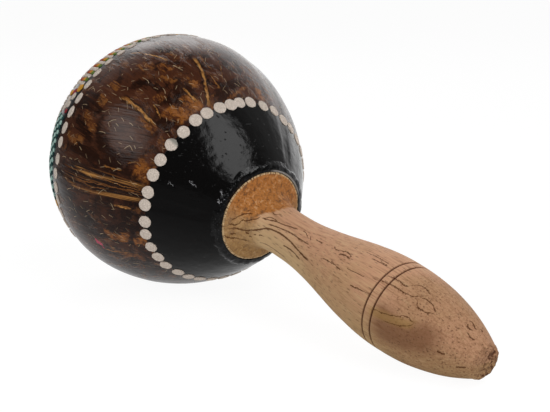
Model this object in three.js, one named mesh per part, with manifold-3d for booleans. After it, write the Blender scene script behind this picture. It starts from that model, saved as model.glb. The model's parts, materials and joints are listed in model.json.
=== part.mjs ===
// Coconut maraca lying on a table: a hollow coconut with two rings of raised paint dots, on a turned wooden
// handle, with loose seeds inside.
// Millimetres, +Z up. The table is z = 0, and the handle points to +X and slopes down to the table.
// Stations run along the maraca's axis, from the coconut's widest section towards the handle's butt.

import * as THREE from 'three';
import { mergeVertices } from 'three/addons/utils/BufferGeometryUtils.js';
import Module from 'manifold-3d';

// Coconut shell
const headRadius = 55;          // at its widest section
const domeLength = 48.5;        // from the widest section to the far pole
const noseLength = 83.4;        // from the widest section to where the nose would end in a point
const nosePower = 1.93;         // how late the nose draws in
const wall = 4.5;               // at the widest section
const lipDepth = 3.1;           // height of the round hole that the handle plugs

// Rings of paint dots on the shell, with angles in degrees from its top towards +Y
const dotFoot = 3.1;            // radius at the dot's root, inside the wall
const dotTop = 2.2;             // radius of its flat top
const dotHeight = 0.6;
const dotRoot = 1;              // how deep the dot reaches into the wall
const dotSides = 8;
const farDotCount = 50;
const farRingStation = -8.6;
const farRingSway = 2.4;        // how far the far ring wanders along the axis
const nearRingStation = 41.2;   // at the angle where the near ring is farthest from the collar
const nearRingAngle = -50;
const nearRingRise = 4.4;       // how much closer to the collar it runs on the other side
const nearRiseFrom = 55;        // the turns between which it rises
const nearRiseTo = 120;
const nearDotAngles = [         // spaced by hand where the ring faces the viewer
  -163, -154, -145, -135, -126.5, -118, -108.5, -100, -89.5, -81.5, -71, -61.5, -51, -41, -31, -23,
  -14, -6.5, 0, 8, 17.5, 27, 36, 44.5,
];
const hiddenDotCount = 15;      // the rest of the near ring, evenly spaced
const hiddenDotFrom = 54;
const hiddenDotStep = 9.5;

// Handle, turned from one piece of wood
const collarRadius = 19.4;
const collarEdge = 1.2;         // height of the collar's rim
const collarRise = 1.3;         // how far the collar's face cones up from its rim
const collarFace = 3.9;         // width of that face, from the rim to the cove
const shoulder = 3.4;           // width of the ring that seats on the shell
const tenonLength = 14;
const tenonChamfer = 1;
const coveLength = 16.7;        // hollow curve between the collar's face and the neck
const neckRadius = 9.9;
const neckLength = 4;           // straight stretch after the cove
const swellLength = 61.9;       // from the neck to the grip's widest section
const gripRadius = 17.45;
const tailLength = 46.3;        // from the grip's widest section to the butt
const tailDrop = 0.65;          // share of the grip's radius that the tail loses
const tailPower = 2.22;         // how late the tail draws in
const buttEase = 2.2;           // rounding of the butt's edge
const grooveOffset = 0.4;       // from the grip's widest section to the first turned groove
const grooveSpacing = 4.1;
const grooveCount = 2;
const grooveWidth = 1;
const grooveDepth = 0.6;

// Bead of filler round the collar
const beadWidth = 2.2;
const beadHeight = 1.1;         // against the collar
const beadToe = 0.4;            // at its outer edge
const beadSwell = 0.2;          // how far its sloping face bulges

// Loose seeds
const seedRadius = 4;
const seedCount = 24;
const seedGap = 0.5;            // to the shell's wall
const laneSpacing = 0.66;       // spread of the seeds' lanes, in seed widths

const jointGap = 0.3;           // left for glue between pieces that touch

// How finely curves are faceted
const segments = 48;
const domeSteps = 11;
const noseSteps = 10;
const coveSteps = 6;
const swellSteps = 10;
const tailSteps = 9;
const easeSteps = 3;

// What follows from the driving dimensions
const beadInner = collarRadius + jointGap;
const seatRadius = beadInner + beadWidth;
const tenonRadius = collarRadius - shoulder;
const boreRadius = tenonRadius + jointGap;
const cavityRadius = headRadius - wall;
const seatStation = noseStation(seatRadius, headRadius, noseLength);
const lipStation = seatStation - lipDepth;
const cavityNose = lipStation / noseStation(boreRadius, cavityRadius, 1);

const shoulderStation = seatStation + jointGap;
const rimStation = shoulderStation + collarEdge;
const coveStation = rimStation + collarRise;
const neckStation = coveStation + coveLength;
const swellStation = neckStation + neckLength;
const gripStation = swellStation + swellLength;
const buttStation = gripStation + tailLength;

const flatFactor = Math.cos(Math.PI / segments);   // from a ring's corners to the middle of its flats

// Where a nose of this length has drawn in to the given radius.
function noseStation(radius, widest, length) {
  return length * (1 - radius / widest) ** (1 / nosePower);
}

function eggRadius(station, widest, dome, nose) {
  if (station < 0) return widest * Math.sqrt(1 - (station / dome) ** 2);
  return widest * (1 - (station / nose) ** nosePower);
}

// Outline of an egg from its far pole to a station on its nose, as points of (radius, station).
function eggOutline(widest, dome, nose, lastStation) {
  const points = [];
  for (let step = 0; step <= domeSteps; step++) {
    const angle = (step / domeSteps) * (Math.PI / 2);
    points.push(new THREE.Vector2(widest * Math.sin(angle), -dome * Math.cos(angle)));
  }
  points[0].x = 0;
  for (let step = 1; step <= noseSteps; step++) {
    const station = (lastStation * step) / noseSteps;
    points.push(new THREE.Vector2(eggRadius(station, widest, dome, nose), station));
  }
  return points;
}

// A turned solid with its axis along +X and a flat, not a corner, facing down.
function turned(points) {
  const geometry = new THREE.LatheGeometry(points, segments, Math.PI / segments);
  geometry.rotateZ(-Math.PI / 2);
  return geometry;
}

// Closed solid of a geometry, and one geometry joined from several.
const wasm = await Module();
wasm.setup();

function solid(geometry) {
  geometry.deleteAttribute('normal');
  geometry.deleteAttribute('uv');
  const merged = mergeVertices(geometry);
  const corners = merged.index.array;
  const triVerts = [];
  for (let index = 0; index < corners.length; index += 3) {
    const triangle = corners.slice(index, index + 3);
    if (new Set(triangle).size === 3) triVerts.push(...triangle);
  }
  const vertProperties = merged.attributes.position.array;
  return new wasm.Manifold(new wasm.Mesh({ numProp: 3, vertProperties, triVerts: new Uint32Array(triVerts) }));
}

function joined(geometries) {
  const mesh = geometries.map(solid).reduce((whole, part) => whole.add(part)).getMesh();
  const geometry = new THREE.BufferGeometry();
  geometry.setAttribute('position', new THREE.BufferAttribute(mesh.vertProperties, 3));
  geometry.setIndex(new THREE.BufferAttribute(mesh.triVerts, 1));
  geometry.computeVertexNormals();
  return geometry;
}

function piece(name, geometry, color, roughness) {
  const material = new THREE.MeshStandardMaterial({ color, roughness, metalness: 0 });
  const mesh = new THREE.Mesh(geometry, material);
  mesh.name = name;
  return mesh;
}

// Shell: the outside, the flat seat cut across the nose, the hole, and the cavity back to its pole.
const shellOutside = eggOutline(headRadius, domeLength, noseLength, seatStation);
const cavity = eggOutline(cavityRadius, domeLength - wall, cavityNose, lipStation);

function shellOutline() {
  const hole = new THREE.Vector2(boreRadius, seatStation);
  return [...shellOutside, hole, ...cavity.toReversed()];
}

// Paint dots: low eight-sided stumps that stand square on the shell.
function shellDot(station, angle) {
  const radiusAt = (place) => eggRadius(place, headRadius, domeLength, noseLength);
  const step = 0.01;
  const slope = (radiusAt(station + step) - radiusAt(station - step)) / (2 * step);
  const turn = THREE.MathUtils.degToRad(angle);
  const normal = new THREE.Vector3(-slope, Math.sin(turn), Math.cos(turn)).normalize();
  const geometry = new THREE.CylinderGeometry(dotTop, dotFoot, dotHeight + dotRoot, dotSides);
  geometry.translate(0, (dotHeight - dotRoot) / 2, 0);
  geometry.applyQuaternion(new THREE.Quaternion().setFromUnitVectors(new THREE.Vector3(0, 1, 0), normal));
  return geometry.translate(station, radiusAt(station) * Math.sin(turn), radiusAt(station) * Math.cos(turn));
}

function nearDot(angle) {
  const turn = Math.abs(THREE.MathUtils.euclideanModulo(angle - nearRingAngle + 180, 360) - 180);
  const rise = nearRingRise * THREE.MathUtils.smoothstep(turn, nearRiseFrom, nearRiseTo);
  return shellDot(nearRingStation + rise, angle);
}

function farDot(angle) {
  const sway = farRingSway * Math.cos(THREE.MathUtils.degToRad(2 * (angle + 90)));
  return shellDot(farRingStation + sway, angle);
}

function ringDots() {
  const dots = nearDotAngles.map(nearDot);
  for (let index = 0; index < hiddenDotCount; index++) {
    dots.push(nearDot(hiddenDotFrom + index * hiddenDotStep));
  }
  for (let index = 0; index < farDotCount; index++) {
    dots.push(farDot((360 * index) / farDotCount));
  }
  return dots;
}

// Handle: the tenon, the collar with its cove, the neck, the grip with its grooves, and the butt.
function gripRadiusAt(station) {
  if (station < gripStation) {
    const swell = (station - swellStation) / swellLength;
    return neckRadius + ((gripRadius - neckRadius) * (1 - Math.cos(Math.PI * swell))) / 2;
  }
  const tail = (station - gripStation) / tailLength;
  return gripRadius * (1 - tailDrop * tail ** tailPower);
}

function tenonOutline() {
  const end = shoulderStation - tenonLength;
  return [
    new THREE.Vector2(0, end),
    new THREE.Vector2(tenonRadius - tenonChamfer, end),
    new THREE.Vector2(tenonRadius, end + tenonChamfer),
    new THREE.Vector2(tenonRadius, shoulderStation),
    new THREE.Vector2(collarRadius, shoulderStation),
    new THREE.Vector2(collarRadius, rimStation),
  ];
}

function coveOutline() {
  const coveRadius = collarRadius - collarFace;
  const points = [];
  for (let step = 0; step <= coveSteps; step++) {
    const angle = (step / coveSteps) * (Math.PI / 2);
    const radius = coveRadius - (coveRadius - neckRadius) * Math.sin(angle);
    points.push(new THREE.Vector2(radius, neckStation - coveLength * Math.cos(angle)));
  }
  return points;
}

function gripOutline() {
  const easeStation = buttStation - buttEase;
  const stations = [];
  for (let step = 0; step < swellSteps; step++) {
    stations.push(swellStation + (swellLength * step) / swellSteps);
  }
  for (let step = 0; step < tailSteps; step++) {
    stations.push(gripStation + ((easeStation - gripStation) * step) / tailSteps);
  }
  const grooves = [];
  for (let groove = 0; groove < grooveCount; groove++) {
    grooves.push(gripStation + grooveOffset + groove * grooveSpacing);
  }
  const clear = stations.filter((station) => grooves.every((groove) => Math.abs(station - groove) > grooveWidth));
  const points = clear.map((station) => new THREE.Vector2(gripRadiusAt(station), station));
  for (const groove of grooves) {
    for (const side of [-1, 0, 1]) {
      const station = groove + (side * grooveWidth) / 2;
      const depth = side === 0 ? grooveDepth : 0;
      points.push(new THREE.Vector2(gripRadiusAt(station) - depth, station));
    }
  }
  return points.sort((first, second) => first.y - second.y);
}

function buttOutline() {
  const easeStation = buttStation - buttEase;
  const flatRadius = gripRadiusAt(easeStation) - buttEase;
  const points = [];
  for (let step = 0; step <= easeSteps; step++) {
    const angle = (step / easeSteps) * (Math.PI / 2);
    const radius = flatRadius + buttEase * Math.cos(angle);
    points.push(new THREE.Vector2(radius, easeStation + buttEase * Math.sin(angle)));
  }
  points.push(new THREE.Vector2(0, buttStation));
  return points;
}

const handleOutline = [...tenonOutline(), ...coveOutline(), ...gripOutline(), ...buttOutline()];

// Bead: a closed ring on the seat, high against the collar and low at its toe.
function beadOutline() {
  const foot = shoulderStation;
  const crownHeight = (beadHeight + beadToe) / 2 + beadSwell;
  return [
    new THREE.Vector2(beadInner, foot),
    new THREE.Vector2(seatRadius, foot),
    new THREE.Vector2(seatRadius, foot + beadToe),
    new THREE.Vector2(beadInner + beadWidth / 2, foot + crownHeight),
    new THREE.Vector2(beadInner, foot + beadHeight),
    new THREE.Vector2(beadInner, foot),
  ];
}

// The maraca lies on its coconut and on its grip, so the axis tilts until both reach equally low.
function reach(outline, tilt) {
  const depths = outline.map((point) => point.x * flatFactor * Math.cos(tilt) + point.y * Math.sin(tilt));
  return Math.max(...depths);
}

function restingTilt() {
  let low = 0;
  let high = Math.PI / 4;
  for (let step = 0; step < 50; step++) {
    const middle = (low + high) / 2;
    if (reach(shellOutside, middle) > reach(handleOutline, middle)) low = middle;
    else high = middle;
  }
  return (low + high) / 2;
}

const tilt = restingTilt();

// How far a point is from the cavity's wall. The point is in the frame of the table, from the head's centre.
function roomInside(x, y, z) {
  const station = x * Math.cos(tilt) - z * Math.sin(tilt);
  const radius = Math.hypot(y, x * Math.sin(tilt) + z * Math.cos(tilt));
  const point = new THREE.Vector3(radius, station, 0);
  const nearest = new THREE.Vector3();
  let room = Infinity;
  for (let index = 1; index < cavity.length; index++) {
    const start = new THREE.Vector3(cavity[index - 1].x, cavity[index - 1].y, 0);
    const end = new THREE.Vector3(cavity[index].x, cavity[index].y, 0);
    new THREE.Line3(start, end).closestPointToPoint(point, true, nearest);
    room = Math.min(room, nearest.distanceTo(point));
  }
  return room;
}

// How high a seed in an upright lane is when it meets the cavity's floor (side -1) or ceiling (side 1).
function seedHeight(x, y, side) {
  let free = 0;
  let blocked = side * headRadius;
  for (let step = 0; step < 40; step++) {
    const middle = (free + blocked) / 2;
    if (roomInside(x, y, middle) > seedRadius + seedGap) free = middle;
    else blocked = middle;
  }
  return free;
}

// Seeds lie round the cavity's lowest point like the seeds in a sunflower, each in an upright lane of its own.
function seedPieces() {
  const depths = cavity.map((point) => point.x * Math.cos(tilt) + point.y * Math.sin(tilt));
  const lowest = cavity[depths.indexOf(Math.max(...depths))];
  const centre = lowest.y * Math.cos(tilt) - lowest.x * Math.sin(tilt);
  const goldenAngle = Math.PI * (3 - Math.sqrt(5));
  const laneSpread = laneSpacing * (2 * seedRadius + jointGap);
  const seeds = [];
  for (let index = 0; index < seedCount; index++) {
    const distance = laneSpread * Math.sqrt(index + 0.5);
    const x = centre + distance * Math.cos(index * goldenAngle);
    const y = distance * Math.sin(index * goldenAngle);
    const floor = seedHeight(x, y, -1);
    const geometry = new THREE.SphereGeometry(seedRadius, 10, 7);
    geometry.rotateX(Math.PI / 2);
    const seed = piece(`seed_${String(index + 1).padStart(2, '0')}`, geometry, 0x2b1d14, 0.45);
    seed.position.set(x, y, floor);
    seed.userData.travel = seedHeight(x, y, 1) - floor;
    seeds.push(seed);
  }
  return seeds;
}

const turnedPieces = new THREE.Group();
turnedPieces.rotation.y = tilt;
turnedPieces.add(piece('coconut_shell', joined([turned(shellOutline()), ...ringDots()]), 0x3b2314, 0.3));
turnedPieces.add(piece('handle', turned(handleOutline), 0xa5876c, 0.7));
turnedPieces.add(piece('collar_bead', turned(beadOutline()), 0x14120f, 0.35));

const maraca = new THREE.Group();
maraca.add(turnedPieces, ...seedPieces());
maraca.updateMatrixWorld(true);

// Origin under the middle of the part, on the table.
const box = new THREE.Box3().setFromObject(maraca, true);
maraca.position.set(-(box.min.x + box.max.x) / 2, -(box.min.y + box.max.y) / 2, -box.min.z);

export default maraca;
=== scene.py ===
import json
import math
import random

import bpy
from mathutils import Matrix, Vector


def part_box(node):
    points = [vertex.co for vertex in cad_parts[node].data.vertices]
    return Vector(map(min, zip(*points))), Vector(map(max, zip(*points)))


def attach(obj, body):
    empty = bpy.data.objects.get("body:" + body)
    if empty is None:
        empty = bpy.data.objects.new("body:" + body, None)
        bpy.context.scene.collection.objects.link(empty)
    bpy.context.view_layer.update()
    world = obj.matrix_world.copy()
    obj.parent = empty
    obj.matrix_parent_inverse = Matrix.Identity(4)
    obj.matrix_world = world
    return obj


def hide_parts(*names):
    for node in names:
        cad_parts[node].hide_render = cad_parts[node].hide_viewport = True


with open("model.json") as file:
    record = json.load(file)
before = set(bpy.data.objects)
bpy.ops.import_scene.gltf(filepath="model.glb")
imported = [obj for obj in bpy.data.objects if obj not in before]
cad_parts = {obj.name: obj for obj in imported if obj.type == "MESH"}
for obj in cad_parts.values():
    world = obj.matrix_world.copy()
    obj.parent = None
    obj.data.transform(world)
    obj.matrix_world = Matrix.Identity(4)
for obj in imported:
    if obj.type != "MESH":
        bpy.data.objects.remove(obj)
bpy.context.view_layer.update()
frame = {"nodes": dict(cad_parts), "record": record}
mm = 0.001
print("frame loaded,", len(frame["nodes"]), "nodes")

# sizes in millimetres; stations run along the axis from the coconut's widest section to the butt
coconut = {
    "radius": 55, "dome": 48.5, "nose": 83.4, "power": 1.93, "wall": 4.5, "lip": 3.1,
    "domeSteps": 84, "noseSteps": 84, "cavitySteps": 30, "segments": 280,
    "swell": (0.45, 70), "dents": (0.16, 9), "brushMarks": (0.14, 3),      # height and grain
    "skinDepth": 0.4, "seatFade": (6, 1),       # the relief fades between these distances from the seat
    "seams": (-87, 33, 153), "seamDepth": 0.22, "seamWidth": (2, 6), "seamStart": (-48, -20),
    "gloss": 1.3,                               # index of refraction
}
handle = {
    "collar": 19.4, "edge": 1.2, "rise": 1.3, "face": 3.9, "shoulder": 3.4,
    "tenon": 14, "chamfer": 1, "cove": 16.7, "neck": 9.9, "neckRun": 4,
    "swell": 61.9, "grip": 17.45, "tail": 46.3, "drop": 0.65, "power": 2.22, "ease": 2.2,
    "grooveFrom": 0.4, "grooveStep": 4.1, "grooves": 2, "grooveWidth": 1.0, "grooveDepth": 0.6,
    "backEase": 0.25, "rimEase": 0.4, "rimEaseDepth": 0.3, "rimBand": (0.8, 0.2),
    "faceSteps": 7, "coveSteps": 32, "easeSteps": 4, "endSteps": 12, "step": 0.55, "segments": 144,
    "tear": (0.8, 1.8, 3), "chips": (0.5, 1.3, 1), "waver": (0.25, 16, 2),     # height, grain and depth
    "faceEdge": 74.8, "faceReach": 5.6, "roughTail": (150, 168), "gloss": 1.3,
}
bead = {
    "width": 2.2, "height": 1.1, "bulge": ((0.1, 0.9), (0.5, 1.8)), "skirt": 0.4, "root": 0.5,
    "smear": 1.6, "film": (0.24, 0.09, -0.06),  # height of the film as it thins out on the lacquer
    "lumps": (1.1, 5, 1), "ripples": (0.6, 1.6, 1), "segments": 180, "gloss": 1.4,
}
glueGap = 0.3

beadInner = handle["collar"] + glueGap
seatRadius = beadInner + bead["width"]
boreRadius = handle["collar"] - handle["shoulder"] + glueGap


def noseStation(radius, widest, nose):
    return nose * (1 - radius / widest) ** (1 / coconut["power"])


seatStation = noseStation(seatRadius, coconut["radius"], coconut["nose"])
shoulderStation = seatStation + glueGap
rimStation = shoulderStation + handle["edge"]
coveStation = rimStation + handle["rise"]
neckStation = coveStation + handle["cove"]
swellStation = neckStation + handle["neckRun"]
gripStation = swellStation + handle["swell"]
buttStation = gripStation + handle["tail"]
firstGroove = gripStation + handle["grooveFrom"]
grooveStations = [firstGroove + n * handle["grooveStep"] for n in range(handle["grooves"])]

buttMount = next(mount for mount in frame["record"]["mounts"] if mount["name"] == "butt_end")
axisWay = Vector(buttMount["axis"]).normalized()
tilt = math.atan2(-axisWay.z, axisWay.x)
headCentre = Vector(buttMount["pos_m"]) - axisWay * buttStation * mm
upWay = Vector((math.sin(tilt), 0, math.cos(tilt)))
sideWay = Vector((0, 1, 0))


def spotOnAxis(station, radius, angle):         # angle in degrees from the top, towards +Y
    turn = math.radians(angle)
    out = sideWay * math.sin(turn) + upWay * math.cos(turn)
    return headCentre + (axisWay * station + out * radius) * mm


def axisPlace(point):                           # station, radius and angle of a point of the frame
    offset = (point - headCentre) / mm
    across, up = offset.dot(sideWay), offset.dot(upWay)
    return offset.dot(axisWay), math.hypot(across, up), math.degrees(math.atan2(across, up))


# tools for modelling

def pick(*pieces):
    bpy.ops.object.select_all(action="DESELECT")
    for piece in pieces:
        piece.select_set(True)
    bpy.context.view_layer.objects.active = pieces[0]


def turned(name, outline, segments):            # outline of (station, radius), turned about the axis
    bpy.ops.object.select_all(action="DESELECT")
    bpy.ops.mesh.primitive_plane_add(size=mm)
    piece = bpy.context.object
    piece.name = name
    bpy.ops.object.mode_set(mode="EDIT")
    bpy.ops.mesh.select_mode(type="VERT")
    bpy.ops.mesh.select_all(action="SELECT")
    bpy.ops.mesh.merge(type="CENTER")
    station, radius = outline[0]
    bpy.ops.transform.translate(value=(station * mm, 0, radius * mm))
    for nextStation, nextRadius in outline[1:]:
        stride = ((nextStation - station) * mm, 0, (nextRadius - radius) * mm)
        bpy.ops.mesh.extrude_vertices_move(TRANSFORM_OT_translate={"value": stride})
        station, radius = nextStation, nextRadius
    bpy.ops.mesh.select_all(action="SELECT")
    bpy.ops.mesh.spin(steps=segments, angle=math.tau, center=(0, 0, 0), axis=(1, 0, 0))
    bpy.ops.mesh.select_all(action="SELECT")
    bpy.ops.mesh.remove_doubles(threshold=0.002 * mm)
    bpy.ops.mesh.normals_make_consistent(inside=False)
    bpy.ops.object.mode_set(mode="OBJECT")
    piece.rotation_euler = (0, tilt, 0)
    piece.location = headCentre
    pick(piece)
    bpy.ops.object.transform_apply(location=True, rotation=True, scale=True)
    return piece


def weigh(piece, name, weightOf):               # vertex group from a rule on station, radius and angle
    group = piece.vertex_groups.new(name=name)
    for vertex in piece.data.vertices:
        weight = weightOf(*axisPlace(vertex.co))
        if weight > 0:
            group.add([vertex.index], min(weight, 1), "REPLACE")
    return name


def displace(piece, group, height, grain=None, depth=2):    # pushes the group's skin in or out
    modifier = piece.modifiers.new("relief", "DISPLACE")
    modifier.vertex_group = group
    modifier.strength = height * mm
    modifier.mid_level = 0 if grain is None else 0.5
    if grain is not None:
        texture = bpy.data.textures.new("relief", "CLOUDS")
        texture.noise_scale = grain * mm
        texture.noise_depth = depth
        modifier.texture = texture
        modifier.texture_coords = "LOCAL"
    pick(piece)
    bpy.ops.object.modifier_apply(modifier=modifier.name)


def smooth(piece, angle=40):
    pick(piece)
    bpy.ops.object.shade_smooth_by_angle(angle=math.radians(angle))


def dress(piece, material):
    piece.data.materials.clear()
    piece.data.materials.append(material)


def ramp(value, low, high):                     # 0 below low, 1 above high
    share = min(max((value - low) / (high - low), 0), 1)
    return share * share * (3 - 2 * share)


# tools for materials

def ink(code):                                  # web colour to the linear colour that shaders take
    parts = [int(code[n:n + 2], 16) / 255 for n in (0, 2, 4)]
    return [p / 12.92 if p <= 0.04045 else ((p + 0.055) / 1.055) ** 2.4 for p in parts] + [1]


class Wire:                                     # a socket that works in sums
    def __init__(self, sheet, socket):
        self.sheet = sheet
        self.socket = socket

    def also(self, name):                       # another output of the same node
        return Wire(self.sheet, self.socket.node.outputs[name])

    def __add__(self, other):
        return self.sheet.maths("ADD", self, other)

    def __sub__(self, other):
        return self.sheet.maths("SUBTRACT", self, other)

    def __rsub__(self, other):
        return self.sheet.maths("SUBTRACT", other, self)

    def __mul__(self, other):
        return self.sheet.maths("MULTIPLY", self, other)

    def __truediv__(self, other):
        return self.sheet.maths("DIVIDE", self, other)

    def __abs__(self):
        return self.sheet.maths("ABSOLUTE", self)

    __radd__ = __add__


class Sheet:                                    # the nodes of one material or world
    def __init__(self, owner):
        owner.use_nodes = True
        self.owner = owner
        self.tree = owner.node_tree
        self.tree.nodes.clear()

    def add(self, kind, settings, sockets, out=0):
        node = self.tree.nodes.new(kind)
        for key, value in settings.items():
            if key == "curve":                  # points of a float curve
                spline = node.mapping.curves[0]
                spline.points[0].location = value[0]
                spline.points[1].location = value[-1]
                for point in value[1:-1]:
                    spline.points.new(*point)
                node.mapping.update()
            else:
                setattr(node, key, value)
        for key, value in sockets.items():
            if isinstance(value, Wire):
                self.tree.links.new(value.socket, node.inputs[key])
            else:
                node.inputs[key].default_value = value
        return Wire(self, node.outputs[out])

    def maths(self, operation, *values):
        return self.add("ShaderNodeMath", {"operation": operation}, dict(enumerate(values)))

    def step(self, value, low, high):           # 0 below low, 1 above high, eased between
        settings = {"interpolation_type": "SMOOTHSTEP"}
        sockets = {"Value": value, "From Min": low, "From Max": high}
        return self.add("ShaderNodeMapRange", settings, sockets)

    def mix(self, share, under, over):
        return self.add("ShaderNodeMix", {"data_type": "RGBA"}, {0: share, 6: under, 7: over}, 2)

    def vector(self, x, y, z):
        return self.add("ShaderNodeCombineXYZ", {}, {0: x, 1: y, 2: z})

    def dot(self, vector, way):                 # how far a vector goes along a way
        settings = {"operation": "DOT_PRODUCT"}
        return self.add("ShaderNodeVectorMath", settings, {0: vector, 1: way}, "Value")

    def noise(self, vector, scale, detail=3, roughness=0.5, bend=0):
        sockets = {"Vector": vector, "Scale": scale, "Detail": detail}
        sockets.update({"Roughness": roughness, "Distortion": bend})
        return self.add("ShaderNodeTexNoise", {}, sockets)

    def cells(self, vector, sides="3D"):
        sockets = {"Vector": vector, "Scale": 1, "Randomness": 1}
        return self.add("ShaderNodeTexVoronoi", {"voronoi_dimensions": sides}, sockets)

    def bump(self, height):                     # height in millimetres
        return self.add("ShaderNodeBump", {}, {"Height": height, "Strength": 1, "Distance": mm})

    def lots(self, cells):                      # three random numbers a cell: red, green and blue
        return self.add("ShaderNodeSeparateColor", {}, {0: cells.also("Color")})

    def out(self, surface, kind="ShaderNodeOutputMaterial"):
        node = self.tree.nodes.new(kind)
        self.tree.links.new(surface.socket, node.inputs["Surface"])
        return self.owner

    def finish(self, sockets):
        return self.out(self.add("ShaderNodeBsdfPrincipled", {}, sockets))


class AxisSheet(Sheet):                         # a material that knows the maraca's axis, in millimetres
    def __init__(self, name, inks):
        super().__init__(bpy.data.materials.new(name))
        self.inks = {tint: ink(code) for tint, code in inks.items()}
        place = self.add("ShaderNodeTexCoord", {}, {}, "Object")
        sockets = {"Vector": place, "Location": headCentre, "Rotation": (0, tilt, 0)}
        sockets["Scale"] = (mm, mm, mm)
        self.spot = self.add("ShaderNodeMapping", {"vector_type": "TEXTURE"}, sockets)
        self.station = self.add("ShaderNodeSeparateXYZ", {}, {0: self.spot})
        self.across = self.station.also("Y")
        self.up = self.station.also("Z")
        self.angle = self.maths("ARCTAN2", self.across, self.up) * math.degrees(1)
        self.radius = self.maths("SQRT", self.across * self.across + self.up * self.up)
        self.arc = self.radius * math.radians(1)    # millimetres to a degree

    def blend(self, share, under, over):        # of two inks
        return self.mix(share, self.inks[under], self.inks[over])

    def coat(self, share, over):                # lays an ink or a blend over the colour so far
        over = self.inks[over] if isinstance(over, str) else over
        self.colour = self.mix(share, self.colour, over)

    def stretched(self, along, about):          # its own scale along and about the axis
        return self.vector(self.station * along, self.across * about, self.up * about)

    def slanted(self, along, about, slant):     # runs round the axis as it goes along
        return self.vector(self.station * along, self.angle * about - self.station * slant, 0)

    def strayed(self, noise, reach):            # the angle, pushed about by a noise
        return self.angle + (noise - 0.5) * reach

    def course(self, points, angle, fade):      # distance to a line of (station, angle), and its extent
        first, last = points[0][0], points[-1][0]
        bearings = [bearing for _, bearing in points]
        margin = 5                              # room for the curve above and below its points
        low, span = min(bearings) - margin, max(bearings) - min(bearings) + 2 * margin
        along = self.maths("MULTIPLY_ADD", self.station, 1 / (last - first), first / (first - last))
        shares = [(station - first) / (last - first) for station, _ in points]
        curve = [(share, (bearing - low) / span) for share, bearing in zip(shares, bearings)]
        course = self.add("ShaderNodeFloatCurve", {"curve": curve}, {"Factor": 1, "Value": along})
        offset = abs(angle - self.maths("MULTIPLY_ADD", course, span, low)) * self.arc
        return offset, self.step(abs(along - 0.5), 0.51, 0.51 - fade)

    def line(self, points, width, angle=None, fade=0.15):
        offset, extent = self.course(points, angle or self.angle, fade)
        return self.step(offset, width * 0.8, width * 0.2) * extent

    def lines(self, rows, angle=None, fade=0.15):       # rows of (points, width)
        return self.together([self.line(points, width, angle, fade) for points, width in rows])

    def together(self, masks):
        whole = masks[0]
        for mask in masks[1:]:
            whole = self.maths("MAXIMUM", whole, mask)
        return whole

    def flecks(self, cell, length, width, share, curl, shift):     # scattered short fibres
        reach = math.radians(coconut["radius"] - 4)     # millimetres to a degree on the brown band
        grid = self.vector(self.station / cell + shift, self.angle * (reach / cell), 0)
        nearest = self.cells(grid, "2D")
        ends = {0: grid, 1: nearest.also("Position")}
        offset = self.add("ShaderNodeVectorMath", {"operation": "SUBTRACT"}, ends)
        ahead = self.add("ShaderNodeSeparateXYZ", {}, {0: offset})
        aside = ahead.also("Y")
        lot = self.lots(nearest)
        turn = (lot - 0.5) * 2.2                # most lie along the shell
        cosine, sine = self.maths("COSINE", turn), self.maths("SINE", turn)
        along = (ahead * cosine + aside * sine) * cell
        beside = (aside * cosine - ahead * sine) * cell
        bent = beside + along * along * ((lot.also("Green") - 0.5) * curl)
        chance = lot.also("Blue")
        half = chance * length * 0.5
        slim = self.step(abs(bent), width * 0.7, width * 0.2)
        short = self.step(abs(along), half, half * 0.6)
        chosen = self.step(chance, 1 - share, 1.04 - share)
        return slim * short * chosen * (0.14 + lot.also("Green") * 0.5)


# camera at the photograph's viewing angle
view = {
    "place": (0.43561, -0.3462, 0.16361), "aim": (0.00746, -0.0046, 0.04698),      # in metres
    "focalPixels": 1400, "imageWidth": 550, "sensor": 36,
}

bpy.ops.object.select_all(action="DESELECT")
bpy.ops.object.camera_add(location=view["place"])
camera = bpy.context.object
sight = Vector(view["aim"]) - camera.location
camera.rotation_euler = sight.to_track_quat("-Z", "Y").to_euler()
camera.data.sensor_width = view["sensor"]
camera.data.lens = view["sensor"] * view["focalPixels"] / view["imageWidth"]
bpy.context.scene.camera = camera
bpy.context.scene.view_settings.view_transform = "Standard"
print("camera set")

# coconut shell: brown band, black lacquer towards the collar, black ground under the far ornament
band = {"farEdge": -10.8, "ring": 41.2, "ringAngle": -50, "rise": 4.4, "riseFrom": 55, "riseTo": 120}


def eggRadius(station, widest, dome, nose):
    if station < 0:
        return widest * math.sqrt(max(0, 1 - (station / dome) ** 2))
    return widest * (1 - (station / nose) ** coconut["power"])


def eggOutline(widest, dome, nose, last, domeSteps, noseSteps):
    outline = []
    for step in range(domeSteps):
        turn = math.pi / 2 * step / domeSteps
        outline.append((-dome * math.cos(turn), widest * math.sin(turn)))
    for step in range(noseSteps + 1):
        station = last * step / noseSteps
        outline.append((station, eggRadius(station, widest, dome, nose)))
    return outline


def shellOutline():
    widest, wall = coconut["radius"], coconut["wall"]
    lipStation = seatStation - coconut["lip"]
    cavityNose = lipStation / noseStation(boreRadius, widest - wall, 1)
    steps = coconut["cavitySteps"]
    outside = eggOutline(widest, coconut["dome"], coconut["nose"], seatStation,
                         coconut["domeSteps"], coconut["noseSteps"])
    inside = eggOutline(widest - wall, coconut["dome"] - wall, cavityNose, lipStation, steps, steps)
    return outside + [(seatStation, boreRadius)] + inside[::-1]


def outsideRadius(station):
    return eggRadius(station, coconut["radius"], coconut["dome"], coconut["nose"])


def onOutside(station, radius, angle):          # fades out at the seat, where the collar sits
    if radius < outsideRadius(station) - coconut["skinDepth"]:
        return 0
    fadeFrom, fadeTo = coconut["seatFade"]
    return 1 - ramp(station, seatStation - fadeFrom, seatStation - fadeTo)


def turnBetween(one, other):                    # the short way round, in degrees
    return abs((one - other + 180) % 360 - 180)


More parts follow.
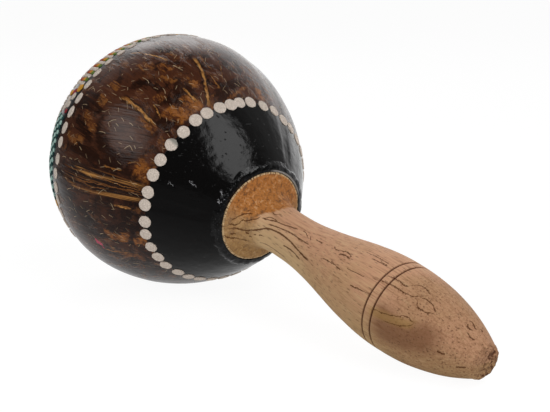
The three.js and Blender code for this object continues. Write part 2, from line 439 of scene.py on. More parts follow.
def alongSeams(station, radius, angle):
    gap = min(turnBetween(angle, seam) for seam in coconut["seams"])
    groove = (1 - ramp(gap, *coconut["seamWidth"])) * ramp(station, *coconut["seamStart"])
    return onOutside(station, radius, angle) * groove


def ringStation(angle):                         # where the near ring of dots runs
    turn = turnBetween(angle, band["ringAngle"])
    return band["ring"] + band["rise"] * ramp(turn, band["riseFrom"], band["riseTo"])


def onLacquer(station, radius, angle):
    return onOutside(station, radius, angle) * ramp(station, ringStation(angle), ringStation(angle) + 1)


def makeShell():
    shell = turned("coconut_shell_skin", shellOutline(), coconut["segments"])
    skin = weigh(shell, "outside", onOutside)
    displace(shell, skin, *coconut["swell"])
    displace(shell, skin, *coconut["dents"])
    displace(shell, weigh(shell, "lacquer", onLacquer), *coconut["brushMarks"])
    displace(shell, weigh(shell, "seams", alongSeams), -coconut["seamDepth"])
    shell.vertex_groups.clear()
    smooth(shell)
    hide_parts("coconut_shell")
    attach(shell, "maraca")
    return shell


shell = makeShell()
print("shell turned,", len(shell.data.polygons), "faces")

husk = {
    "dark": "1c0c06", "brown": "432416", "red": "532d18", "rubbed": "4b2f22",
    "tan": "784a22", "amber": "8c5524", "gold": "96622e", "straw": "b98446", "cream": "d6bb94",
    "lacquer": "090808", "scuff": "8a8a8c", "speck": "b8284e",
}
fibres = [                                      # (points of station and angle, width, ink)
    ([(14.5, -7.5), (20, -8.3), (25.5, -10), (31.5, -13.7), (36, -16.5), (39.5, -19.5)], 1.4, "straw"),
    ([(12, -47), (17.5, -46.2), (24, -46.6), (29, -47.5), (32.5, -48)], 1.6, "straw"),
    ([(28.5, -94.6), (36, -94)], 1.1, "straw"),
    ([(18, -123.6), (24.5, -124.4), (31.5, -123.5)], 0.8, "gold"),
    ([(-6, -26.8), (1, -23.5), (7, -20.8), (12.5, -19)], 0.9, "straw"),
    ([(15.5, -19.3), (20.5, -17.3)], 0.8, "cream"),
    ([(25.5, -40.4), (30, -42.4), (32, -44)], 0.5, "straw"),
    ([(27.5, -24), (32, -23.4), (35.5, -23)], 1, "straw"),
    ([(26.5, -7), (30, -6.8), (34, -7.2)], 0.7, "gold"),
    ([(12, -3.5), (19, -4.6), (25, -4)], 0.5, "tan"),
    ([(19, 3.5), (26, 0.5), (30, -2)], 0.5, "tan"),
    ([(21, -77.2), (23.5, -77.4), (25.5, -77.1), (27.6, -76.4), (29.5, -75.4)], 0.7, "gold"),
    ([(30.5, -72), (32.2, -70), (33.8, -68.2)], 0.5, "tan"),
    ([(5.8, -88.8), (12, -89), (20, -87.2), (27.5, -85.7), (40, -82.8)], 0.5, "tan"),
    ([(-1, -90.3), (7.7, -89.8), (16.4, -89.5), (26, -87.7)], 0.5, "tan"),
    ([(18, -83.9), (26, -83.4), (34, -82.7), (40, -81.3)], 0.4, "gold"),
]
bundles = [                                     # sheaves of fibre along the seam
    ([(5, -83.9), (11, -84.2), (14.8, -84.4), (20, -83.7), (27, -82.2), (33.5, -80.7), (41, -79)], 1.7),
    ([(-1, -91.4), (6.3, -92.6), (10.6, -93), (16.7, -92.1), (25.7, -90.3), (32.5, -89), (41, -87)], 1.5),
]
bareSheenSpot = ([(7, -61), (20, -59), (36, -63)], 21)     # worn bare of husk, and painted lighter and warmer where the sheen lands
redSpeck = ([(15.2, -119.4), (16.8, -120.4), (18.8, -122)], 2.6)
patches = [                                     # torn husk that keeps its golden colour
    ([(30, -39.5), (34, -36), (39.5, -34)], 6.5, "amber"),
    ([(33.5, 12), (36, 4), (38, -2), (40, -8)], 3.4, "tan"),
    ([(35, -14), (37.5, -16), (41, -19)], 3, "tan"),
    ([(30, -27), (34, -25.6), (39, -25)], 4.5, "amber"),
    ([(26, -19), (28, -17.6), (30, -17)], 3, "amber"),
    ([(23, -37), (25, -36), (27.5, -35.6)], 3, "tan"),
    ([(0, -60.4), (5, -62.5), (9, -64.5), (12, -66)], 3, "tan"),
    ([(-5, -71), (1, -73.5), (4, -72), (8, -72)], 3.2, "tan"),
    ([(2, -51.6), (5, -52), (8.6, -52.6)], 2.2, "tan"),
    ([(33, -71), (37, -71.5), (41, -72)], 7, "amber"),
    ([(2, -45), (5, -44.5), (9, -46)], 1.8, "tan"),
    ([(4, -31), (8, -28), (13, -28.5)], 3, "tan"),
    ([(11, -24), (14, -22.6), (18, -22)], 2.4, "amber"),
    ([(17, -28), (20, -26.6), (24, -25)], 2.6, "tan"),
    ([(7, -17.5), (10, -15.6), (14, -15)], 2.2, "tan"),
    ([(24, -49.5), (28, -50), (34, -50)], 2.6, "tan"),
    ([(22, -111), (28, -113.5), (35, -109)], 3, "amber"),
    ([(35, -116), (41, -112)], 3.4, "amber"),
    ([(22, -122), (30, -126), (37, -127)], 2.6, "tan"),
    ([(33, 20), (40, 17)], 4, "amber"),
]
shadows = [                                     # painted shade: dark patches for the husk's hollows
    ([(-8, -57), (-2, -56), (5, -55), (10, -57)], 6),
    ([(-4, -64), (3, -67), (8, -69), (13, -71)], 4.5),
    ([(-2, -79), (4, -76), (12, -76), (20, -76.4), (30, -77)], 6),
    ([(8, -59), (11, -62), (14, -66), (18, -69), (24, -71), (34, -67)], 6),
    ([(22, -74), (28, -75), (33, -76), (38, -75)], 4),
    ([(26, -36), (29, -33.5), (32.5, -31)], 5),
    ([(31, -46), (34, -45), (38, -44)], 5),
    ([(28, -29), (31, -30), (34, -30.5)], 3),
    ([(11, -36), (18, -34), (25, -31)], 3),
    ([(28, -13), (31, -9), (33, -4), (34, 6)], 2.6),
]
hairs = [                                       # (cell, length, width, share, curl, shift)
    (5.6, 4.2, 0.22, 0.55, 0.3, 0),
    (3.7, 2.8, 0.19, 0.4, 0.5, 31),
]
scratches = [                                   # (points, width) of pale marks in the lacquer
    ([(52.4, -63.4), (55.6, -66)], 0.5),
    ([(46.6, -70.6), (48.8, -71.6)], 0.35),
    ([(62, -57.6), (63, -60), (63.9, -62.6)], 0.7),
    ([(62.6, -66.5), (63.8, -70.4)], 0.8),
]


def huskGround(s):                              # brown skin, torn husk and painted shade in its hollows
    s.strands = s.noise(s.stretched(0.045, 0.75), 1, 5, 0.62)
    calm = s.line(*bareSheenSpot)
    grain = s.noise(s.stretched(0.05, 1.2), 1, 3, 0.6)
    rubbed = s.noise(s.slanted(0.06, 0.9, 0.42), 1, 3, 0.6)
    s.fine = grain + (rubbed - grain) * calm
    blotch = s.noise(s.spot, 0.05, 4, 0.62, 0.8)
    s.curd = s.noise(s.stretched(0.3, 0.5), 1, 6, 0.72, 1.2)
    # painted sheen: the husk is painted lighter and redder over the top, standing in for a broad
    # reflection there, and a little darker towards the near ring
    upperSheen = s.step(s.up, -5, 40)
    lit = upperSheen * 0.3 - s.step(s.station, 20, 38) * 0.1
    s.colour = s.blend(s.step(blotch + lit, 0.38, 0.68), "dark", "brown")
    s.coat(s.step(s.strands + upperSheen * 0.06, 0.5, 0.74) * 0.7, "red")
    tear = s.noise(s.stretched(0.075, 0.21), 1, 6, 0.7, 0.5)
    loose = tear + s.step(s.station, 8, 40) * 0.03 + upperSheen * 0.02 - calm * 0.14
    s.torn = s.step(loose, 0.54, 0.66)
    s.coat(s.torn * 0.75, s.blend(s.step(s.curd, 0.42, 0.6), "red", "tan"))
    shade = s.noise(s.spot, 0.13, 4, 0.65, 0.6) + s.step(s.station, 14, 40) * 0.05
    s.coat(s.step(shade, 0.51, 0.61) * 0.75, "dark")
    # painted sheen: the bare spot is coloured lighter and warmer where the reflection falls on it
    s.coat(calm * 0.6, "rubbed")
    s.coat(calm * s.step(rubbed, 0.5, 0.6) * 0.7, "dark")
    # painted shade of the hollows
    hollowShade = s.lines(shadows, s.strayed(s.strands, 16))
    s.coat(hollowShade * (0.6 + s.curd * 0.5), "dark")
    ragged = s.step(s.curd + tear * 0.4, 0.62, 0.74)
    frayed = s.strayed(s.strands, 12)
    for tint in ("tan", "amber"):
        patch = s.lines([row[:2] for row in patches if row[2] == tint], frayed)
        s.coat(patch * (0.4 + s.curd), s.blend(ragged, "red", tint))


def huskFibres(s):                              # seams, sheaves, single fibres and hairs
    seamStep = 360 / len(coconut["seams"])
    seamGap = s.maths("PINGPONG", s.angle - coconut["seams"][0] - s.station * 0.1, seamStep / 2)
    threads = s.noise(s.slanted(0.025, 1.5, 0.15), 1, 3, 0.55)
    seam = (1 - s.step(seamGap, 3, 7)) * s.step(s.station, -4, 6)
    s.coat(seam * 0.85, "dark")
    s.coat(seam * s.step(threads, 0.55, 0.62) * 0.7, "tan")
    filaments = s.noise(s.slanted(0.045, 2.6, 0.4), 1, 3, 0.6)
    sheaf = s.lines(bundles) * s.step(filaments, 0.4, 0.55)
    s.coat(sheaf, s.blend(s.step(filaments, 0.45, 0.62), "tan", "straw"))
    wavy = s.strayed(s.strands, 3)
    # painted shade: a dark rim along each fibre stands in for the shade beside its relief
    fibreShade, cores = [], {}
    for points, width, tint in fibres:
        offset, extent = s.course(points, wavy, 0.15)
        fibreShade.append(s.step(offset, width * 1.3, width * 0.5) * extent)
        cores.setdefault(tint, []).append(s.step(offset, width * 0.6, width * 0.2) * extent)
    s.coat(s.together(fibreShade) * 0.8, "dark")
    worn = 0.5 + s.curd * 0.8
    streaks = s.step(s.strands + s.curd * 0.5, 0.6, 0.85)
    for tint, masks in cores.items():
        s.coat(s.together(masks) * worn, s.blend(streaks, "tan", tint))
    for row in hairs:
        s.coat(s.flecks(*row), "cream")
    s.coat(s.line(*redSpeck, s.strayed(s.strands, 6)), "speck")


def underLacquer(s):                            # mask of both black ends, with hand-drawn edges
    edge = s.noise(s.spot, 0.25, 2) * 1.2 - 0.6
    turn = s.maths("PINGPONG", s.angle - band["ringAngle"], 180)
    ring = band["ring"] + s.step(turn, band["riseFrom"], band["riseTo"]) * band["rise"]
    near = s.step(s.station + edge - ring, -0.1, 0.1)
    return near + 1 - s.step(s.station + edge, band["farEdge"] - 0.1, band["farEdge"] + 0.1)


def coconutFinish():
    s = AxisSheet("lacquered_coconut", husk)
    huskGround(s)
    huskFibres(s)
    black = underLacquer(s)
    s.coat(black, "lacquer")
    s.coat(s.lines(scratches, s.strayed(s.fine, 9)) * s.step(s.fine, 0.3, 0.5), "scuff")
    brush = s.noise(s.stretched(0.03, 0.5), 1, 4, 0.6)
    pores = s.cells(s.stretched(0.5, 0.7))
    pits = s.step(pores, 0.3, 0.05) * s.step(s.lots(pores), 0.7, 0.75)
    peel = s.noise(s.spot, 0.4, 3, 0.6)
    huskHeight = s.strands * 0.08 + s.fine * 0.12 + s.torn * s.curd * 0.15
    lacquerHeight = s.noise(s.spot, 0.1, 2) * 0.22 + brush * 0.08 + peel * 0.06 - pits * 0.08
    height = huskHeight + (lacquerHeight - huskHeight) * black
    huskRough = 0.09 + s.fine * 0.16
    rough = huskRough + (brush * 0.11 + 0.09 - huskRough) * black
    sockets = {"Base Color": s.colour, "Roughness": rough, "Normal": s.bump(height)}
    return s.finish({**sockets, "IOR": coconut["gloss"]})


dress(shell, coconutFinish())
print("shell finished")


# painted dots

whiteDots = {
    "near": 5.25, "far": 5.2, "spread": (0.94, 1.04), "height": 0.45, "sink": 0.25, "jitter": 0.3,
    "oval": 0.68, "topShare": 0.8, "top": (305, 325),       # the far ring is slim, and small over the top
    "farCount": 50, "farRing": -10.4, "farSway": 2.6, "farJitter": 0.6,
    "hiddenCount": 15, "hiddenFrom": 54, "hiddenStep": 9.5, "wobble": 0.07,
}
stainedDot = [(39, -47.9), (41.4, -47.8), (43.6, -48.3)]     # one near dot has gone grey
nearAngles = [
    -163, -154, -145, -135, -126.5, -118, -108.5, -100, -89.5, -81.5, -71, -61.5, -51, -41, -31, -23,
    -14, -6.5, 0, 8, 17.5, 27, 36, 44.5,
]
for n in range(whiteDots["hiddenCount"]):       # the side that isn't seen is evenly spaced
    nearAngles.append(whiteDots["hiddenFrom"] + whiteDots["hiddenStep"] * n)
dotInks = {                                     # paint and its shade
    "white": ("e0d3c7", "c3b4a6"), "teal": ("0d4f4c", "083634"), "mint": ("b9d6cc", "93b8ad"),
    "green": ("6b8a26", "47601a"), "yellow": ("dda223", "b57c12"), "orange": ("cc6a26", "a54d17"),
    "red": ("a3212b", "7c151d"),
}
draw = random.Random(7)


def jitter(reach):
    return draw.uniform(-reach, reach)


def anyTurn():                                  # in radians
    return draw.uniform(0, 6)


def dotShape(name, sides, rounding, segments, seed):         # one dot of radius 1 and height 1
    bpy.ops.object.select_all(action="DESELECT")
    bpy.ops.mesh.primitive_cylinder_add(vertices=sides, radius=1, depth=1, location=(0, 0, 0.5))
    dot = bpy.context.object
    dot.name = name
    bpy.ops.object.transform_apply(location=True)
    bpy.ops.object.mode_set(mode="EDIT")
    bpy.ops.mesh.select_mode(type="EDGE")
    bpy.ops.mesh.select_all(action="DESELECT")
    bpy.ops.object.mode_set(mode="OBJECT")
    for edge in dot.data.edges:
        edge.select = all(dot.data.vertices[n].co.z > 0.9 for n in edge.vertices)
    bpy.ops.object.mode_set(mode="EDIT")
    bpy.ops.mesh.bevel(offset=rounding, segments=segments, affect="EDGES")
    bpy.ops.mesh.select_all(action="SELECT")
    bpy.ops.transform.vertex_random(offset=whiteDots["wobble"], uniform=0.3, normal=0, seed=seed)
    bpy.ops.object.mode_set(mode="OBJECT")
    return dot


def seatOnShell(station, angle, diameter, sizes, oval=1):     # matrix that stands a dot on the skin
    height, sink, spin = sizes["height"], sizes["sink"], anyTurn()
    _, spot, normal, _ = shell.closest_point_on_mesh(spotOnAxis(station, outsideRadius(station), angle))
    along = (axisWay - normal * axisWay.dot(normal)).normalized()
    aside = normal.cross(along)
    turn = Matrix((along, aside, normal)).transposed().to_4x4()
    size = Matrix.Diagonal((diameter / 2 * oval * mm, diameter / 2 * mm, (height + sink) * mm, 1))
    return Matrix.Translation(spot - normal * sink * mm) @ turn @ size @ Matrix.Rotation(spin, 4, "Z")


def paintDots(name, shapes, seats, material):
    copies = []
    for index, seat in enumerate(seats):
        mesh = shapes[index % len(shapes)].data.copy()
        mesh.transform(seat)
        copy = bpy.data.objects.new(name, mesh)
        bpy.context.scene.collection.objects.link(copy)
        copies.append(copy)
    pick(*copies)
    bpy.ops.object.join()
    piece = bpy.context.object
    piece.name = name
    smooth(piece, 50)
    dress(piece, material)
    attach(piece, "maraca")


def dotPaint(name, tint, stain=None):           # matte craft paint with specks
    paint, shade = dotInks[tint]
    s = AxisSheet(name, {"paint": paint, "shade": shade, "stain": "6c6e66"})
    specks = s.noise(s.spot, 1.8, 4, 0.7)
    s.colour = s.blend(s.step(specks, 0.42, 0.62), "shade", "paint")
    if stain is not None:
        s.coat(s.line(stain, 2.6) * (0.4 + specks * 0.7), "stain")
    normal = s.bump(specks * 0.12)
    return s.finish({"Base Color": s.colour, "Roughness": 0.62 + specks * 0.2, "Normal": normal})


def ringSeats(dots, diameter, oval=1, topShare=1):      # dots over the top may be smaller
    seats = []
    for angle, station in dots:
        overTop = ramp(angle % 360, *whiteDots["top"])
        size = diameter * draw.uniform(*whiteDots["spread"]) * (1 - (1 - topShare) * overTop)
        seats.append(seatOnShell(station, angle, size, whiteDots, oval))
    return seats


def nearDots():
    return [(angle, ringStation(angle) + jitter(whiteDots["jitter"])) for angle in nearAngles]


def farDots():
    dots = []
    for n in range(whiteDots["farCount"]):
        angle = 360 / whiteDots["farCount"] * n + jitter(whiteDots["farJitter"])
        sway = whiteDots["farSway"] * math.cos(math.radians(2 * (angle + 90)))
        dots.append((angle, whiteDots["farRing"] + sway + jitter(whiteDots["jitter"])))
    return dots


bigShapes = [dotShape("bigDot", sides=22, rounding=0.32, segments=3, seed=n) for n in range(5)]
white = dotPaint("white_dot_paint", "white", stainedDot)
paintDots("near_ring_dots", bigShapes, ringSeats(nearDots(), whiteDots["near"]), white)
farSeats = ringSeats(farDots(), whiteDots["far"], whiteDots["oval"], whiteDots["topShare"])
paintDots("far_ring_dots", bigShapes, farSeats, white)
print("white rings painted")

# ornament of small dots on the far cap, in six sectors between dividers of larger dots
cap = {
    "border": -10.4, "firstRow": 4.2, "rowStep": 2.6, "rows": 4, "columns": 156,
    "dot": 2.1, "height": 0.45, "sink": 0.2, "spread": (0.92, 1.08), "jitter": 0.2, "turnJitter": 0.25,
    "sectors": 6, "firstDivider": -53, "dividerTurn": 14, "dividerLead": 2,
    "repeat": 12, "poleShare": 1.1,             # rows nearer the pole: whole groups, larger dots
}
divider = [                                     # (paint, distance from the border, turn, diameter)
    ("yellow", 4.3, 0, 4.4), ("red", 7.4, 3.2, 3.4), ("white", 5, 5.2, 3.6), ("white", 8.4, 7.4, 3.8),
    ("white", 5.2, 9.4, 3.4), ("white", 9, 11.4, 3.6), ("yellow", 11.4, 4, 3), ("red", 4.4, 12.6, 2.4),
]
warmColumn = ("green", "yellow", "orange", "red")
capPlan = {                                     # what the rows nearer the pole hold
    5: ["white"], 6: ["orange", "yellow"], 7: ["red"], 9: ["white"], 10: ["teal", "mint"], 11: ["teal"],
    13: ["yellow"], 14: ["orange", "red"], 16: ["white"], 18: ["green", "yellow"], 20: ["white"],
    22: ["red"], 24: ["yellow"], 26: ["teal"],
}


def capStation(distance):                       # station at an arc length from the cap's border
    turn = math.acos(-cap["border"] / coconut["dome"])
    stride = 0.001
    while distance > 0 and turn > 0:
        ahead, out = coconut["dome"] * math.sin(turn), coconut["radius"] * math.cos(turn)
        distance -= math.hypot(ahead, out) * stride
        turn -= stride
    return -coconut["dome"] * math.cos(max(turn, 0))


def capDots():
    seats = {tint: [] for tint in dotInks}
    span = 360 / cap["sectors"]

    def lay(tint, distance, angle, size):
        station = capStation(distance + jitter(cap["jitter"]))
        around = angle + jitter(cap["turnJitter"])
        size *= draw.uniform(*cap["spread"])
        seats[tint].append(seatOnShell(station, around, size, cap))

    for column in range(cap["columns"]):
        angle = column * 360 / cap["columns"]
        turn = (cap["firstDivider"] - angle) % span
        sector = int((cap["firstDivider"] - angle) % 360 // span)
        if turn < cap["dividerTurn"] or turn > span - cap["dividerLead"]:
            continue
        for row in range(cap["rows"]):
            if sector % 2 == 0:
                tint = ("teal", "mint")[(column + row) % 2]
            else:
                tint = warmColumn[row] if column % 2 else "white"
            lay(tint, cap["firstRow"] + row * cap["rowStep"], angle, cap["dot"])
    for sector in range(cap["sectors"]):
        angle = cap["firstDivider"] - sector * span
        for tint, distance, turn, size in divider:
            lay(tint, distance, angle - turn, size)
    for row, tints in capPlan.items():
        distance = cap["firstRow"] + row * cap["rowStep"]
        around = math.tau * outsideRadius(capStation(distance))
        groups = max(1, round(around / (cap["repeat"] * cap["rowStep"])))
        count = cap["repeat"] * groups
        for n in range(count):
            lay(tints[n % len(tints)], distance, 360 * n / count, cap["dot"] * cap["poleShare"])
    return seats


smallShapes = [dotShape("smallDot", sides=10, rounding=0.35, segments=1, seed=n) for n in range(3)]
for tint, seats in capDots().items():
    paintDots("cap_dots_" + tint, smallShapes, seats, dotPaint(tint + "_cap_paint", tint))
print("far cap painted")


# handle

def gripRadius(station):
    if station < gripStation:
        swell = (station - swellStation) / handle["swell"]
        return handle["neck"] + (handle["grip"] - handle["neck"]) * (1 - math.cos(math.pi * swell)) / 2
    tail = (station - gripStation) / handle["tail"]
    return handle["grip"] * (1 - handle["drop"] * tail ** handle["power"])


def grooveDepth(station):
    nearest = min(abs(station - groove) for groove in grooveStations)
    return handle["grooveDepth"] * max(0, 1 - nearest / (handle["grooveWidth"] / 2))


def quarterTurn(steps):                         # cosine and sine of each step
    turns = [math.pi / 2 * n / steps for n in range(steps + 1)]
    return [(math.cos(turn), math.sin(turn)) for turn in turns]


def collarOutline():                            # tenon, shoulder, rim and the face up to the neck
    collar, chamfer, rimEase = handle["collar"], handle["chamfer"], handle["rimEase"]
    tenonRadius = collar - handle["shoulder"]
    tenonEnd = shoulderStation - handle["tenon"]
    outline = [(tenonEnd, 0), (tenonEnd, tenonRadius - chamfer), (tenonEnd + chamfer, tenonRadius),
               (shoulderStation, tenonRadius), (shoulderStation, collar - handle["backEase"]),
               (shoulderStation + handle["backEase"], collar),
               (rimStation - handle["rimEaseDepth"], collar), (rimStation, collar - rimEase)]
    for n in range(1, handle["faceSteps"]):
        share = n / handle["faceSteps"]
        radius = collar - rimEase - (handle["face"] - rimEase) * share
        outline.append((rimStation + handle["rise"] * share, radius))
    coveRadius = collar - handle["face"]
    for cosine, sine in quarterTurn(handle["coveSteps"]):
        radius = coveRadius - (coveRadius - handle["neck"]) * sine
        outline.append((neckStation - handle["cove"] * cosine, radius))
    return outline


def gripStations(easeStation):                  # evenly spaced, and closer in the grooves
    step, width = handle["step"], handle["grooveWidth"]
    stations = []
    for n in range(int((easeStation - swellStation) / step)):
        station = swellStation + step * n
        if all(abs(station - groove) > width for groove in grooveStations):
            stations.append(station)
    for groove in grooveStations:
        stations += [groove + width * quarter / 4 for quarter in range(-3, 4)]
    return sorted(stations)


def handleOutline():
    outline = collarOutline()
    ease = handle["ease"]
    easeStation = buttStation - ease
    for station in gripStations(easeStation):
        outline.append((station, gripRadius(station) - grooveDepth(station)))
    flat = gripRadius(easeStation) - ease
    for cosine, sine in quarterTurn(handle["easeSteps"]):
        outline.append((easeStation + ease * sine, flat + ease * cosine))
    for n in range(1, handle["endSteps"] + 1):
        outline.append((buttStation, flat * (1 - n / handle["endSteps"])))
    return outline


def onButt(station, radius, angle):
    return ramp(station, buttStation - handle["ease"], buttStation - 0.6)


def onRim(station, radius, angle):
    inner, outer = [handle["collar"] - depth for depth in handle["rimBand"]]
    return ramp(radius, inner, outer) if shoulderStation < station < coveStation else 0


def onGrip(station, radius, angle):
    fromCove = ramp(station, coveStation, neckStation)
    return fromCove * (1 - ramp(station, buttStation - 3, buttStation - 1))


def makeHandle():
    piece = turned("turned_handle", handleOutline(), handle["segments"])
    displace(piece, weigh(piece, "butt", onButt), *handle["tear"])
    displace(piece, weigh(piece, "rim", onRim), *handle["chips"])
    displace(piece, weigh(piece, "grip", onGrip), *handle["waver"])
    piece.vertex_groups.clear()
    smooth(piece, 35)
    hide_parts("handle")
    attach(piece, "maraca")
    return piece


wood = {
    "tan": "c29a70", "pink": "cc9b79", "olive": "b08f62", "pale": "d8b98c", "straw": "ab8748",
    "rough": "8d6444", "end": "9c7139", "orange": "b06c28", "pore": "5e3a22", "line": "542a0c",
    "groove": "4a200a", "smudge": "74492e",
}
paleNeck = ([(58, -96), (84, -105), (96, -112), (118, -120)], 18)
brownSmudge = ([(151, -92), (161, -89), (169, -84), (177, -80), (186, -82)], 11)
strawStreak = ([(151, -82), (160, -78), (167, -72), (173, -64)], 3.4)
zoneLines = [                                   # (points of station and angle, width)
    ([(65.5, -101), (66.2, -99.4), (68, -101.2), (70, -101.8), (74, -95), (78.6, -82.5), (82, -72.5),
      (88.5, -66.5), (94, -67), (100, -71.5), (105, -75.5), (111.5, -77)], 0.7),
    ([(65.5, -108), (66.5, -115), (67.7, -123), (70.4, -127.5)], 0.7),
    ([(72.5, -113.5), (73.6, -113), (74, -119.5)], 0.6),
    ([(66.6, -108), (67.3, -111.5)], 0.6),
    ([(70.9, -106), (72.6, -106)], 0.6),
    ([(75, -103.5), (76.3, -101.3)], 0.5),
    ([(77.9, -98.5), (79.7, -95.5)], 0.5),
    ([(66.1, -88), (67, -93.5), (68.3, -91), (69.1, -83.5), (70.6, -81), (73, -73), (74.5, -68),
      (76, -57)], 0.55),
    ([(66.6, -87.5), (68, -76), (70, -67.5), (72.2, -62)], 0.6),
    ([(69.2, -64.5), (70.7, -59.5)], 0.4),
    ([(78.8, -53), (80.8, -46.5), (83, -46)], 0.35),
    ([(76.7, -58.8), (79.2, -56), (83.7, -48.4), (87.2, -45.6), (91.4, -40.5), (96, -36)], 0.5),
    ([(80.9, -63.5), (83.7, -60), (86.5, -57), (90, -54.5), (93.6, -52.5), (100, -53),
      (107, -52.5)], 0.45),
    ([(79, -33.5), (81.1, -34.5), (82.6, -26)], 0.3),
    ([(77.5, -122), (84, -113), (91.5, -114), (97.5, -122)], 0.3),
    ([(93, -87), (97, -83.5), (101, -84.5), (105.5, -88.5)], 0.6),
    ([(98.5, -32.5), (101, -36), (103, -40)], 0.4),
    ([(104, -36), (106, -43.5)], 0.4),
    ([(108, -37.6), (112.5, -37)], 0.5),
    ([(119, -32.5), (122, -36.6), (125, -33.6), (128, -33), (131, -36.5)], 0.45),
    ([(124.5, -41), (127, -38.4), (131, -39.5)], 0.6),
    ([(123.5, -56), (127, -57.2)], 0.4),
    ([(133, -53), (138, -51.6), (143, -49.5)], 0.4),
    ([(139, -23.4), (147, -21.8)], 0.4),
    ([(134, -18.4), (146.5, -17.6)], 0.3),
    ([(118, -59.4), (124, -58.4), (131, -58.6)], 0.35),
    ([(139, -67.8), (150, -64.6)], 0.4),
    ([(150, -42.6), (155, -41), (160, -39.6), (163.5, -39), (166.5, -33), (169, -22)], 0.4),
    ([(150.5, -36), (152.5, -32), (156, -31), (160, -32), (161.5, -25.6), (163, -19.6), (165.5, -17),
      (168.8, -19), (169.4, -22)], 0.4),
    ([(167.4, -33), (169, -43), (171.5, -44.6), (173.5, -43), (175.6, -38)], 0.4),
    ([(167.4, -33), (170, -29), (172.5, -29.6), (174, -31.5), (175.5, -35)], 0.4),
    ([(153.5, -77), (160, -74), (165, -68), (168.5, -62.5), (170, -64), (172, -63)], 0.35),
    ([(160, -83), (163, -81), (167, -77), (170, -72), (172, -65)], 0.3),
    ([(184.6, -9), (185.1, 0), (186.8, 1), (188.2, -2), (189, 12), (190, 10)], 0.6),
    ([(185.6, -10), (187.4, -15), (188.4, -10)], 0.6),
    ([(188.2, -25), (190, -27), (191.5, -24)], 0.6),
    ([(183, -86), (186, -86.5)], 0.6),
    ([(190, -107), (193.5, -100)], 0.6),
    ([(78, -56), (81.8, -46), (85, -48)], 0.4),
    ([(70, 60), (80, 72), (92, 78), (104, 70)], 0.5),
    ([(110, 95), (124, 104), (136, 98), (146, 108)], 0.5),
    ([(158, 62), (166, 75), (174, 70), (181, 80)], 0.4),
    ([(98, 140), (115, 132), (128, 140)], 0.4),
]


def woodGround(s):                              # pink above and olive below, streaked along the grain; partly real tone, partly painted light, as the top is lighter
    bands = s.noise(s.stretched(0.012, 0.17), 1, 4, 0.55, 0.4)
    s.streak = s.noise(s.stretched(0.035, 1.1), 1, 5, 0.62)
    s.hair = s.noise(s.stretched(0.12, 2.6), 1, 3, 0.65)
    s.cloud = s.noise(s.spot, 0.05, 3)
    s.grit = s.noise(s.spot, 1.1, 4, 0.7)
    s.lean = s.up / s.radius                    # 1 on top, -1 underneath
    s.colour = s.blend(s.step(s.lean + (bands - 0.5) * 0.7, -0.7, 0.7), "olive", "pink")
    s.coat(s.step(s.cloud, 0.42, 0.64) * 0.5, "tan")
    s.coat(s.step(s.streak, 0.5, 0.72) * 0.6, "rough")
    s.coat(s.step(s.streak, 0.5, 0.3) * 0.35, "pale")
    s.coat(s.step(s.hair, 0.56, 0.72) * 0.6, "rough")
    s.coat(s.line(*paleNeck, s.strayed(s.streak, 30), 0.3) * 0.5, "pale")
    s.tail = s.step(s.station, *handle["roughTail"])
    s.coat(s.tail * (0.3 + s.step(s.grit, 0.46, 0.6) * 0.3), "rough")


def collarFace(s):                              # end grain, orange on its upper part and reaching further over the top; partly painted shade where the face and cove turn away from the overhead light
    nearTop = s.step(s.lean, 0.5, 1)
    edge = handle["faceEdge"] + nearTop * handle["faceReach"] + (s.streak - 0.5) * 3
    warmth = s.step(s.lean + (s.cloud - 0.5) * 0.8, -0.1, 0.6)
    soft = 4 - warmth * 3.2
    s.face = s.step((s.station - edge) / soft, 1, -1)
    fibre = s.noise(s.stretched(0.5, 0.5), 1, 5, 0.72, 0.6)
    endGrain = s.blend(warmth, "end", "orange")
    endGrain = s.mix(s.step(fibre, 0.5, 0.38) * 0.85, endGrain, s.inks["pore"])
    endGrain = s.mix(s.step(fibre, 0.52, 0.64) * 0.4, endGrain, s.inks["pale"])
    s.coat(s.face * (0.6 + warmth * 0.3), endGrain)


def woodPores(s):                               # dashes along the grain, dots where it is cut across
    dashes = s.cells(s.stretched(0.2, 1.25))
    dots = s.cells(s.stretched(0.7, 1.4))
    dashPores = s.step(dashes, 0.34, 0.12) * s.step(s.lots(dashes), 0.3, 0.4)
    dotPores = s.step(dots, 0.42, 0.16) * s.step(s.lots(dots), 0.35, 0.6)
    s.pores = dashPores + (dotPores - dashPores) * s.maths("MAXIMUM", s.tail, s.face)
    s.coat(s.pores * (0.5 + s.tail * 0.08), "pore")


def woodMarks(s):                               # stains, zone lines, burnt grooves and the chipped rim
    s.coat(s.line(*brownSmudge, s.strayed(s.cloud, 50), 0.25) * 0.7, "smudge")
    s.coat(s.line(*strawStreak, s.strayed(s.cloud, 10)) * 0.42, "straw")
    crooked = s.strayed(s.streak, 6) + (s.grit - 0.5) * 5
    s.coat(s.lines(zoneLines, crooked, 0.06) * (0.55 + s.grit * 0.7), "line")
    wide = 0.35 + s.hair * 0.6
    for groove in grooveStations:
        s.coat(s.step(abs(s.station - groove) / wide, 1, 0.2) * 0.9, "groove")
    inner = handle["collar"] - handle["rimBand"][0]
    rim = s.step(s.station, rimStation + 0.5, rimStation) * s.step(s.radius, inner, inner + 0.4)
    teeth = s.step(s.noise(s.vector(s.angle * 0.5, 0, 0), 1, 2, 0.6), 0.42, 0.52)
    s.coat(rim, s.blend(teeth, "line", "pale"))


def tornButt(s):
    torn = s.step(s.station + s.grit * 2, buttStation - 0.4, buttStation + 0.8)
    broken = s.step(s.across + (s.grit - 0.5) * 8, -3, 1)      # darker on one side
    holes = s.step(s.noise(s.spot, 0.9, 4, 0.7), 0.48, 0.6)
    s.coat(torn * (0.1 + holes * (0.3 + broken * 0.4)), "pore")
    darkSpots = s.step(s.noise(s.spot, 0.5, 3, 0.6), 0.5, 0.58)
    s.coat(torn * darkSpots * broken * 0.8, "groove")


